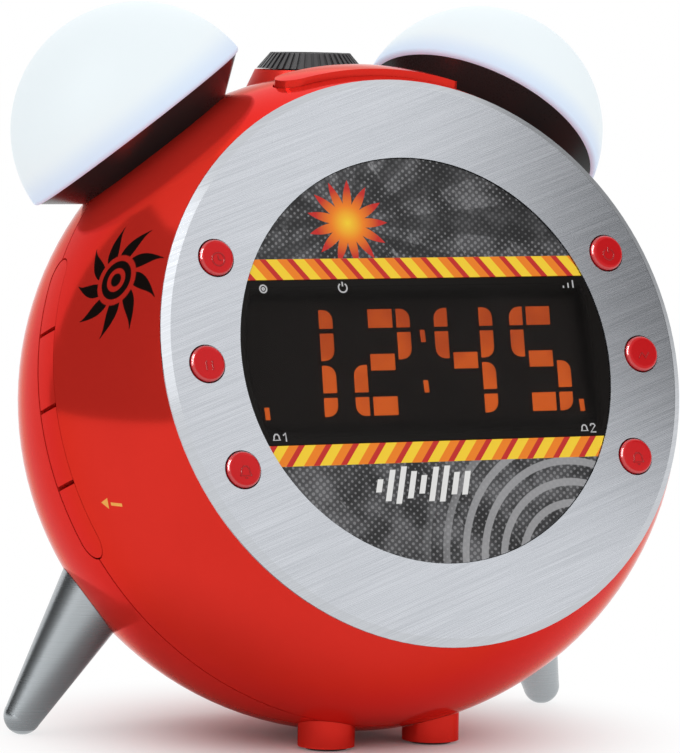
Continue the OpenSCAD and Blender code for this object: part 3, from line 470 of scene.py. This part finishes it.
dialLook = {
    "gloss": {"specularIorLevel": 0.25},
    "roughness": 0.28,
    "cloudRoughness": 0.12,
    "dark": (0.016, 0.016, 0.017),
    "grey": (0.10, 0.10, 0.105),
    "pale": (0.36, 0.36, 0.37),
    "yellow": (0.92, 0.62, 0.03),
    "orange": (0.86, 0.22, 0.01),
    "red": (0.55, 0.02, 0.015),
    "white": (0.78, 0.78, 0.77),
    "cloud": {"scale": 0.09, "detail": 6, "roughness": 0.62},
    "cloudRange": (0.38, 0.68),
    "scuff": {"scale": 0.55, "detail": 4, "roughness": 0.7},
    "scuffSkew": ((0.9, 0.5), (-0.2, 0.25)),
    "scuffLayer": 3,
    "scuffRange": (0.60, 0.74),
    "scuffAmount": 0.5,
}
dotLook = {"turn": (0.82, 0.57), "pitch": 1.15, "size": 0.55, "edge": (-0.06, 0.04), "amount": 0.42}
rayLook = {"count": 16, "edge": (0.24, 0.27), "above": (10, 14), "amount": 0.55}
arcLook = {
    "middle": (30, -46),
    "pitch": 4.6,
    "edge": (0.30, 0.34),
    "below": (-14, -10),
    "fade": (26, 40),
    "amount": 0.8,
}
stripeLook = {
    "bandEdge": 17.8,
    "pitch": 6.4,
    "lean": 0.8,
    "from": (-0.6, -0.4),
    "to": (4.4, 4.5),
    "orangeFrom": (0.40, 0.42),
    "redFrom": (0.76, 0.78),
}
dashLook = {
    "first": (-17, -27),
    "pitch": 2.6,
    "count": 9,
    "lean": 0.3,
    "half": (0.24, 0.28),
    "short": 1.4,
    "taller": 2.6,
    "beat": 2.3,  # how fast the heights change from bar to bar
    "blur": 0.1,
    "cut": 0.01,
}
burstLook = {
    "middle": (-15, 30),
    "radius": 9.5,
    "spikes": 13,
    "core": 0.45,
    "blur": 0.15,
    "stops": [(0.0, dialLook["yellow"]), (0.4, dialLook["orange"]), (0.8, dialLook["red"])],
}


def stripes(finish, u, v, sign):
    # a border of slanted stripes along one edge of the band
    look = stripeLook
    rise = v * sign - look["bandEdge"]
    part = finish.sums("FRACT", (u + rise * look["lean"]) / look["pitch"])
    border = finish.step(rise, *look["from"]) * finish.fall(rise, *look["to"])
    yield border, dialLook["yellow"]
    yield border * finish.step(part, *look["orangeFrom"]), dialLook["orange"]
    yield border * finish.step(part, *look["redFrom"]), dialLook["red"]


def dashes(finish, u, v):
    # slanted bars of mixed heights
    look = dashLook
    x, y = look["first"]
    place = (u - x - (v - y) * look["lean"]) / look["pitch"]
    beat = finish.sums("SINE", finish.sums("FLOOR", place) * look["beat"])
    tall = look["short"] + abs(beat) * look["taller"]
    mask = finish.fall(abs(finish.part(place)), *look["half"])
    mask = mask * finish.fall(abs(v - y) - tall, -look["blur"], look["blur"])
    ends = finish.step(place, 0, look["cut"])
    ends = ends * finish.fall(place, look["count"], look["count"] + look["cut"])
    return mask * ends, dialLook["white"]


def burst(finish, u, v):
    # a many-pointed burst, yellow in the middle and red at its points
    look = burstLook
    x, y = look["middle"]
    du, dv = u - x, v - y
    reach = finish.reach(du, dv)
    spike = abs(finish.part(finish.turns(dv, du) * look["spikes"])) * 2
    edge = look["radius"] * (look["core"] + (1 - look["core"]) * spike)
    mask = finish.fall(reach - edge, -look["blur"], look["blur"])
    share = {0: reach / look["radius"]}
    return mask, finish.node("ShaderNodeValToRGB", {"stops": look["stops"]}, share)


def dots(finish, u, v, cloud):
    # half-tone dots on a turned grid, larger where the cloud is bright
    look = dotLook
    c, s = look["turn"]
    dx = finish.part((u * c + v * s) / look["pitch"])
    dy = finish.part((v * c - u * s) / look["pitch"])
    size = cloud * look["size"]
    low, high = look["edge"]
    return finish.fall(finish.reach(dx, dy), size + low, size + high) * look["amount"]


def rays(finish, u, v):
    look = rayLook
    x, y = burstLook["middle"]
    ray = abs(finish.part(finish.turns(v - y, u - x) * look["count"]))
    return finish.step(ray, *look["edge"]) * finish.step(v, *look["above"]) * look["amount"]


def arcs(finish, u, v):
    look = arcLook
    x, y = look["middle"]
    reach = finish.reach(u - x, v - y)
    arc = finish.step(abs(finish.part(reach / look["pitch"])), *look["edge"])
    low = finish.fall(v, *look["below"]) * finish.fall(reach, *look["fade"])
    return arc * low * look["amount"]


def dialFinish():
    look = dialLook
    finish = Finish("dialPrint", **look["gloss"])
    u, v = finish.onFace()
    cloud = finish.noise(finish.vector(u, v, 0), **look["cloud"])
    skewed = [u * a + v * b for a, b in look["scuffSkew"]]
    scuff = finish.noise(finish.vector(*skewed, look["scuffLayer"]), **look["scuff"])
    scuff = finish.step(scuff, *look["scuffRange"])
    ground = finish.mix(finish.step(cloud, *look["cloudRange"]), look["dark"], look["grey"])
    layers = [(scuff * look["scuffAmount"], look["pale"]),
              (dots(finish, u, v, cloud), look["pale"]),
              (rays(finish, u, v), look["dark"]),
              (arcs(finish, u, v), look["pale"]),
              burst(finish, u, v),
              dashes(finish, u, v),
              *stripes(finish, u, v, 1),
              *stripes(finish, u, v, -1)]
    for mask, tint in layers:
        ground = finish.mix(mask, ground, tint)
    finish.set("baseColor", ground)
    finish.set("roughness", look["roughness"] + cloud * look["cloudRoughness"])
    finish.wear("dial_panel")


dialFinish()
print("face finished")


# dark window with the lit bars behind it

displayLook = {
    "smoke": (0.36, 0.34, 0.33),
    "smokeShade": 0.9,
    "index": 1.14,  # a low value keeps the window's own reflection faint
    "smearScale": 60,
    "smearRoughness": 0.01,
    "border": (0.0065, 0.0052, 0.0045),  # printed behind the window's edge
    "borderGloss": {"Roughness": 0.3, "Specular IOR Level": 0.1},
    "borderRound": (42.2, 43.4),  # mm from the middle, where the border begins and is full
    "borderRight": (37.4, 42.0),
    "borderHigh": (12.4, 17.0),
    "block": (0.062, 0.058, 0.056),
    "blockRoughness": 0.55,
    "blockGloss": {"specularIorLevel": 0.2},
}
litLook = {
    "tint": (1.0, 0.145, 0.025),
    "low": (1.0, 0.180, 0.022),  # towards the lower end
    "lowFrom": (-10, 8),  # mm
    "lowShare": 0.5,
    "cellScale": 160,
    "cellRange": (0.3, 1.1),
    "shade": 0.65,
    "shine": {"emissionStrength": 1.25, "roughness": 0.5},
}


def windowFinish():
    look = displayLook
    finish = Finish("smokedWindow", transmissionWeight=1.0, ior=look["index"])
    smear = finish.noise(finish.place(), look["smearScale"], detail=3)
    finish.set("baseColor", finish.mix(smear, look["smoke"], shaded(look["smoke"], look["smokeShade"])))
    finish.set("roughness", smear * look["smearRoughness"])
    u, v = finish.onFace()
    border = finish.most(finish.step(finish.reach(u, v), *look["borderRound"]),
                         finish.step(u, *look["borderRight"]),
                         finish.step(abs(v), *look["borderHigh"]))
    printed = {"Base Color": colour(look["border"]), **look["borderGloss"]}
    finish.cover(border, finish.node("ShaderNodeBsdfPrincipled", {}, printed))
    finish.wear("display_window")


def litFinish():
    look = litLook
    finish = Finish("litBars", **look["shine"])
    cell = finish.noise(finish.place(), look["cellScale"], detail=2)
    low = finish.fall(finish.along(faceUp, faceMiddle), *look["lowFrom"])
    share = finish.step(cell + low * look["lowShare"], *look["cellRange"])
    glow = finish.mix(share, shaded(look["tint"], look["shade"]), look["low"])
    finish.set("baseColor", glow)
    finish.set("emissionColor", glow)
    finish.wear("lit_bars")


windowFinish()
litFinish()
blockTint = displayLook["block"]
moulded("displayBlock", blockTint, blockTint, displayLook["blockRoughness"],
        **displayLook["blockGloss"]).wear("display_block")


# buttons

buttonLook = {
    "red": (0.62, 0.010, 0.013),
    "deepRed": (0.58, 0.008, 0.011),
    "roughness": 0.12,
    "gloss": {"metallic": 0.15, "specularIorLevel": 0.15, "coatRoughness": 0.10, "coatIor": 1.7},
    "topCoat": 0.06,  # less than on the rounded edge
    "topFrom": (-0.25, -0.08),  # mm from the highest point
    # painted shade: the signs wear a deeper red that stands in for the shade in their relief
    "signPaintedShade": (0.40, 0.006, 0.008),
    "signRoughness": 0.2,
    "signGloss": {"specularIorLevel": 0.3},
}


def buttonFinish():
    look = buttonLook
    sides = ("upper_left", "middle_left", "lower_left", "upper_right", "middle_right", "lower_right")
    names = [side + "_button" for side in sides]
    finish = moulded("buttonRed", look["red"], look["deepRed"], look["roughness"], **look["gloss"])
    top = farthest(names[0], faceOut) * perMetre
    flat = finish.step(finish.along(faceOut), *(top + c for c in look["topFrom"]))
    finish.set("coatWeight", 1 - flat * (1 - look["topCoat"]))
    finish.wear(*names)
    # the signs' finish is a deeper red, painted shade of their relief
    return moulded("signPaintedShade", look["signPaintedShade"], look["signPaintedShade"], look["signRoughness"], **look["signGloss"])


signPaintedShade = buttonFinish()
print("window and buttons finished")


# bells: black bases and frosted domes with a painted glow, lighter at the crown and with a darker, bluer
# painted shade at the rim

bellLook = {
    "angle": 34.5,
    # painted light and shade: the crown's colour is lighter and the rim's darker and bluer, as light falls
    # on the dome
    "paintedLightCrown": (0.64, 0.69, 0.70),
    "rim": (0.54, 0.63, 0.73),
    # painted glow: the domes give off light of their own, brighter at the crown
    "paintedGlowCrown": (0.85, 0.93, 1.0),
    "paintedGlowRim": (0.62, 0.76, 1.0),
    "paintedLightCrownFrom": (0.0, 0.27),  # share of the dome's height
    # the emission strength is that of the painted glow
    "shine": {"emissionStrength": 0.30, "specularIorLevel": 0.05},
    "roughness": 0.42,
    "frostScale": 900,
    "frostRoughness": 0.12,
    "frostDepth": 0.00002,
    "frostStrength": 0.3,
    "black": (0.012, 0.020, 0.020),
    "blackRoughness": 0.24,
    "blackGloss": {"specularIorLevel": 0.2},
}


def domeFinish(side, sign):
    look = bellLook
    node = side + "_bell_dome"
    angle = math.radians(look["angle"])
    axis = faceRight * math.sin(angle) * sign + faceUp * math.cos(angle)
    low, high = nearest(node, axis) * perMetre, farthest(node, axis) * perMetre
    finish = Finish(side + "Dome", **look["shine"])
    height = (finish.along(axis) - low) / (high - low)
    frost = finish.noise(finish.place(), look["frostScale"], detail=3)
    # painted light by height: a lighter crown with a brighter painted glow, and a darker, bluer painted
    # shade at the rim
    paintedLightCrown = finish.step(height, *look["paintedLightCrownFrom"])
    finish.set("baseColor", finish.mix(paintedLightCrown, look["rim"], look["paintedLightCrown"]))
    finish.set("emissionColor", finish.mix(paintedLightCrown, look["paintedGlowRim"], look["paintedGlowCrown"]))
    finish.set("roughness", look["roughness"] + frost * look["frostRoughness"])
    finish.bump(frost, look["frostDepth"], look["frostStrength"])
    finish.wear(node)


def bellFinish():
    domeFinish("left", -1)
    domeFinish("right", 1)
    black = bellLook["black"]
    finish = moulded("bellBlack", black, black, bellLook["blackRoughness"], **bellLook["blackGloss"])
    finish.wear("left_bell_base", "right_bell_base")


bellFinish()
print("bells finished")


# projector ring, barrel and lens

projectorLook = {
    "black": (0.030, 0.030, 0.032),
    "grey": (0.060, 0.060, 0.064),
    "ringRoughness": 0.36,
    "ringSkin": 0.00003,
    "barrel": (0.008, 0.008, 0.009),
    "barrelRoughness": 0.5,
    "glass": {"baseColor": (0.86, 0.92, 0.97, 1), "transmissionWeight": 1.0, "ior": 1.5},
    "smearScale": 300,
    "smearRoughness": 0.02,
}


def projectorFinish():
    look = projectorLook
    focusRing = moulded("ringBlack", look["black"], look["grey"], look["ringRoughness"], look["ringSkin"])
    focusRing.wear("focus_ring")
    barrel = moulded("barrelBlack", look["barrel"], look["barrel"], look["barrelRoughness"])
    barrel.wear("lens_barrel", "lamp_housing")
    glass = Finish("lensGlass", **look["glass"])
    smear = glass.noise(glass.place(), look["smearScale"], detail=2)
    glass.set("roughness", smear * look["smearRoughness"])
    glass.wear("projector_lens", "projector_screen")


projectorFinish()


# turned metal legs

legLook = {
    "pale": (0.44, 0.47, 0.49),
    "dark": (0.365, 0.39, 0.405),
    "roughness": 0.22,
    "ringScale": 5.0,
    "ringRange": (0.3, 0.7),
    "ringRoughness": 0.06,
    "ringDepth": 0.00001,
    "ringStrength": 0.2,
    "cloudScale": 40,
    "cloudRoughness": 0.06,
}


def legFinish():
    look = legLook
    finish = Finish("legMetal", metallic=1.0)
    rings = finish.noise(finish.vector(0, 0, finish.along(upward)), look["ringScale"], detail=3)
    cloud = finish.noise(finish.place(), look["cloudScale"], detail=3)
    finish.set("baseColor", finish.mix(finish.step(rings, *look["ringRange"]), look["pale"], look["dark"]))
    rough = look["roughness"] + rings * look["ringRoughness"]
    finish.set("roughness", rough + cloud * look["cloudRoughness"])
    finish.bump(rings, look["ringDepth"], look["ringStrength"])
    finish.wear("left_leg", "right_leg")


legFinish()


# rubber, boards, cells and other small or inner pieces, by the names of their finishes

innerLook = {
    "boardGreen": {"tint": (0.020, 0.16, 0.065), "deep": (0.014, 0.11, 0.045), "roughness": 0.4,
                   "worn": ["face_board", "side_key_board", "snooze_board", "left_bell_light",
                            "right_bell_light", "lamp_board", "main_board"]},
    "rubber": {"tint": (0.022, 0.022, 0.023), "roughness": 0.7, "skin": 0.00005,
               "worn": ["foot_pads", "aerial_bush"]},
    "inletBlack": {"tint": (0.022, 0.022, 0.023), "roughness": 0.4, "worn": ["power_inlet"]},
    "switchGrey": {"tint": (0.10, 0.10, 0.105), "roughness": 0.5,
                   "worn": ["face_switches", "side_switches"]},
    "speakerPaper": {"tint": (0.045, 0.043, 0.040), "roughness": 0.85, "skin": 0.00008,
                     "worn": ["speaker_cone"]},
    "magnetBlack": {"tint": (0.05, 0.05, 0.052), "roughness": 0.6, "worn": ["speaker_magnet"]},
    "cellWrap": {"tint": (0.13, 0.15, 0.19), "roughness": 0.25, "gloss": {"coatWeight": 0.2},
                 "worn": ["backup_cells"]},
}
metalLook = {
    "steel": {"tint": (0.55, 0.55, 0.56), "roughness": 0.30,
              "worn": ["leg_screws", "case_screws", "board_screws", "speaker_frame"]},
    "plated": {"tint": (0.78, 0.78, 0.79), "roughness": 0.20, "worn": ["battery_contacts"]},
}
metalGrain = {"scale": 500, "shade": 0.8, "roughness": 0.12}


def innerFinishes():
    for name, look in innerLook.items():
        tints = look["tint"], look.get("deep", look["tint"])
        skin = look.get("skin", mouldLook["skin"])
        finish = moulded(name, *tints, look["roughness"], skin, **look.get("gloss", {}))
        finish.wear(*look["worn"])


def metalFinishes():
    for name, look in metalLook.items():
        finish = Finish(name, metallic=1.0)
        grain = finish.noise(finish.place(), metalGrain["scale"], detail=3)
        deep = shaded(look["tint"], metalGrain["shade"])
        finish.set("baseColor", finish.mix(grain, look["tint"], deep))
        finish.set("roughness", look["roughness"] + grain * metalGrain["roughness"])
        finish.wear(*look["worn"])


innerFinishes()
metalFinishes()
print("small pieces finished")


# raised and printed marks, drawn as thin beads on the face, in mm

markLook = {
    "bead": 0.20,
    "sink": 0.06,
    "ringSteps": 28,
    "beadResolution": 2,
    "joined": 1e-6,  # ends nearer than this close a line
    "printBead": 0.17,
    "printLift": 0.01,
    "printSquash": 0.1,
    "printGrey": (0.50, 0.50, 0.51),
    "printRoughness": 0.6,
}


def ring(radius, start=0, end=360):
    steps = markLook["ringSteps"]
    turn = [math.radians(start + (end - start) * i / steps) for i in range(steps + 1)]
    return [(radius * math.cos(t), radius * math.sin(t)) for t in turn]


def resized(line, size, shift=0):
    return [(x * size + shift, y * size) for x, y in line]


def markCurve(name, lines, bead):
    curve = bpy.data.curves.new(name, "CURVE")
    curve.dimensions = "3D"
    curve.bevel_depth = bead * mm
    curve.bevel_resolution = markLook["beadResolution"]
    curve.use_fill_caps = True
    for line in lines:
        closed = len(line) > 2 and math.dist(line[0], line[-1]) < markLook["joined"]
        spots = line[:-1] if closed else line
        spline = curve.splines.new("POLY")
        spline.points.add(len(spots) - 1)
        spline.use_cyclic_u = closed
        for point, (x, y) in zip(spline.points, spots):
            point.co = (x * mm, y * mm, 0, 1)
    return curve


def drawMark(name, lines, place, bead, body, finish, squash=1.0):
    piece = bpy.data.objects.new(name, markCurve(name, lines, bead))
    bpy.context.scene.collection.objects.link(piece)
    mesh = bpy.data.meshes.new_from_object(piece)
    bpy.data.objects.remove(piece)
    mesh.transform(place @ Matrix.Diagonal((1, 1, squash, 1)))
    mesh.materials.clear()
    mesh.materials.append(finish.material)
    shown = bpy.data.objects.new(name, mesh)
    bpy.context.scene.collection.objects.link(shown)
    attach(shown, body)


bellShape = [(-1.3, -0.9), (-1.0, -0.4), (-0.9, 0.5), (-0.4, 1.1), (0.4, 1.1),
             (0.9, 0.5), (1.0, -0.4), (1.3, -0.9), (-1.3, -0.9)]
bellSign = [bellShape, [(-0.3, -1.4), (0.3, -1.4)]]
powerSign = [ring(1.25, 125, 415), [(0, 0.35), (0, 1.6)]]
buttonSigns = {
    "upper_left_button": [ring(1.4), [(0, 0.9), (0, 0), (0.7, -0.3)]],
    "middle_left_button": [[(-0.7, -1), (-0.7, 1)], [(0.7, -1), (0.7, 1)]],
    "lower_left_button": bellSign,
    "upper_right_button": powerSign,
    "middle_right_button": [[(-1.3, -0.6), (-0.4, 0.6), (0.4, -0.6), (1.3, 0.6)]],
    "lower_right_button": bellSign,
}


def buttonMarks():
    for name, lines in buttonSigns.items():
        low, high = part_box(name)
        middle = (low + high) / 2
        top = farthest(name, faceOut)
        x = (middle - faceMiddle).dot(faceRight) * perMetre
        y = (middle - faceMiddle).dot(faceUp) * perMetre
        lift = (top - faceOut.dot(faceMiddle)) * perMetre - markLook["sink"]
        place = facePlace(x, y, lift)
        # the raised signs wear the deeper red of painted shade
        drawMark(name + "_sign", lines, place, markLook["bead"], name, signPaintedShade)


smallBell = resized(bellShape, 0.62, -1.4)
smallPower = [resized(line, 0.8) for line in powerSign]
figureOne = [(0.2, 0.4), (0.8, 0.9), (0.8, -0.9)]
figureTwo = [(0.1, 0.5), (0.4, 0.9), (1.0, 0.9), (1.3, 0.5), (0.1, -0.9), (1.4, -0.9)]
risingBars = [[(-1.2, -0.8), (-1.2, -0.3)], [(0, -0.8), (0, 0.3)], [(1.2, -0.8), (1.2, 0.9)]]
windowSigns = {
    "alarm_one_mark": (-37.0, -16.0, [smallBell, figureOne]),
    "alarm_two_mark": (37.2, -16.0, [smallBell, figureTwo]),
    "power_mark": (-18.2, 15.9, smallPower),
    "after_noon_mark": (-37.0, 15.9, [ring(0.8), ring(0.25)]),
    "tuner_mark": (36.8, 15.9, risingBars),
}


def windowMarks():
    look = markLook
    finish = moulded("printGrey", look["printGrey"], look["printGrey"], look["printRoughness"])
    for name, (x, y, lines) in windowSigns.items():
        place = facePlace(x, y, look["printLift"])
        drawMark(name, lines, place, look["printBead"], "clock", finish,
                 look["printSquash"])


buttonMarks()
windowMarks()
print("marks drawn")


# pale floor, white surround, soft lamps, and a lamp and dark cards that only reflections see

studio = {
    "floorSize": 12,
    "floorColour": (0.88, 0.88, 0.88),
    "floorShade": 0.98,
    "floorRoughness": 0.8,
    "floorNoise": 3,
    "floorFade": (18, 88),  # mm from the middle, where the floor starts to fade and is plain white
    "surround": 0.80,
    # place, size in metres and power in watts
    "lamps": {
        "keyLamp": ((-0.9, -1.0, 1.3), (1.8, 1.8), 4),
        "fillLamp": ((1.1, -0.7, 0.9), (1.2, 1.2), 2),
        "backLamp": ((0.3, 1.0, 1.1), (1.2, 1.2), 2.5),
    },
    # only mirrored, as a glint on the buttons' edges
    "glintLamp": ((-0.75, -0.11, 0.56), (0.22, 0.8), 13),
    # place and size, and for a soft edge its reach in mm and a density
    "cards": {
        "leftCard": ((-0.70, 0.36, 0.40), (1.0, 0.8)),
        "rightCard": ((0.66, 0.24, 0.45), (0.9, 0.9), (110, 450), 0.62),
        "plateCard": ((0.222, -0.161, 0.222), (0.24, 0.24), (76, 120), 0.94),
    },
    # on the floor, from the left leg's middle
    "legCard": ((0.020, -0.012), (0.13, 0.13), (16, 62), 0.58),
    "cardTone": (0.02, 0.02, 0.02),
    "cardFlat": {"roughness": 0.9, "specularIorLevel": 0.0},
}


def makeSheet(name, width, height, finish):
    w, h = width / 2, height / 2
    mesh = bpy.data.meshes.new(name)
    mesh.from_pydata([(-w, -h, 0), (w, -h, 0), (w, h, 0), (-w, h, 0)], [], [(0, 1, 2, 3)])
    mesh.materials.append(finish.material)
    sheet = bpy.data.objects.new(name, mesh)
    bpy.context.scene.collection.objects.link(sheet)
    return sheet


def fromMiddle(finish):
    return finish.reach(finish.along(eastward), finish.along(northward))


def makeFloor():
    finish = Finish("floorPale", roughness=studio["floorRoughness"])
    cloud = finish.noise(finish.place(), studio["floorNoise"], detail=2)
    deep = shaded(studio["floorColour"], studio["floorShade"])
    finish.set("baseColor", finish.mix(cloud, studio["floorColour"], deep))
    away = finish.step(fromMiddle(finish), *studio["floorFade"])
    white = finish.node("ShaderNodeEmission", {}, {"Color": (1, 1, 1, 1), "Strength": 1.0})
    finish.cover(away * finish.seen(), white)
    floor = makeSheet("floor", studio["floorSize"], studio["floorSize"], finish)


def makeSurround():
    world = bpy.data.worlds.new("surround")
    bpy.context.scene.world = world
    world.use_nodes = True
    shading = Shading(world.node_tree)
    back = shading.first("BACKGROUND")
    shading.feed(back.inputs["Color"], (1, 1, 1, 1))
    strength = studio["surround"] + shading.seen() * (1 - studio["surround"])
    shading.feed(back.inputs["Strength"], strength)


def makeLamp(name, spot, size, power):
    data = bpy.data.lights.new(name, "AREA")
    data.shape = "RECTANGLE"
    data.size, data.size_y = size
    data.energy = power
    lamp = bpy.data.objects.new(name, data)
    lamp.location = spot
    lamp.rotation_mode = "QUATERNION"
    lamp.rotation_quaternion = (caseMiddle - Vector(spot)).to_track_quat("-Z", "Y")
    bpy.context.scene.collection.objects.link(lamp)
    return lamp


def makeLamps():
    for name, values in studio["lamps"].items():
        makeLamp(name, *values)
    makeLamp("glintLamp", *studio["glintLamp"]).visible_diffuse = False


def makeCard(name, facing, spot, size, fade=None, density=1.0):
    finish = Finish("cardDark", baseColor=colour(studio["cardTone"]), **studio["cardFlat"])
    if fade:
        finish.set("alpha", finish.fall(fromMiddle(finish), *fade) * density)
    card = makeSheet(name, *size, finish)
    card.rotation_mode = "QUATERNION"
    card.rotation_quaternion = Vector(facing).to_track_quat("Z", "Y")
    card.location = spot
    card.visible_camera = False
    card.visible_diffuse = False
    card.visible_shadow = False
    card.visible_transmission = False


def makeCards():
    for name, values in studio["cards"].items():
        x, y = values[0][:2]
        makeCard(name, (caseMiddle.x - x, caseMiddle.y - y, 0), *values)
    low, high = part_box("left_leg")
    (x, y), *values = studio["legCard"]
    spot = ((low.x + high.x) / 2 + x, (low.y + high.y) / 2 + y, mm)
    makeCard("legCard", upward, spot, *values)


bpy.context.scene.view_settings.view_transform = "Standard"
makeFloor()
makeSurround()
makeLamps()
makeCards()
print("studio set")
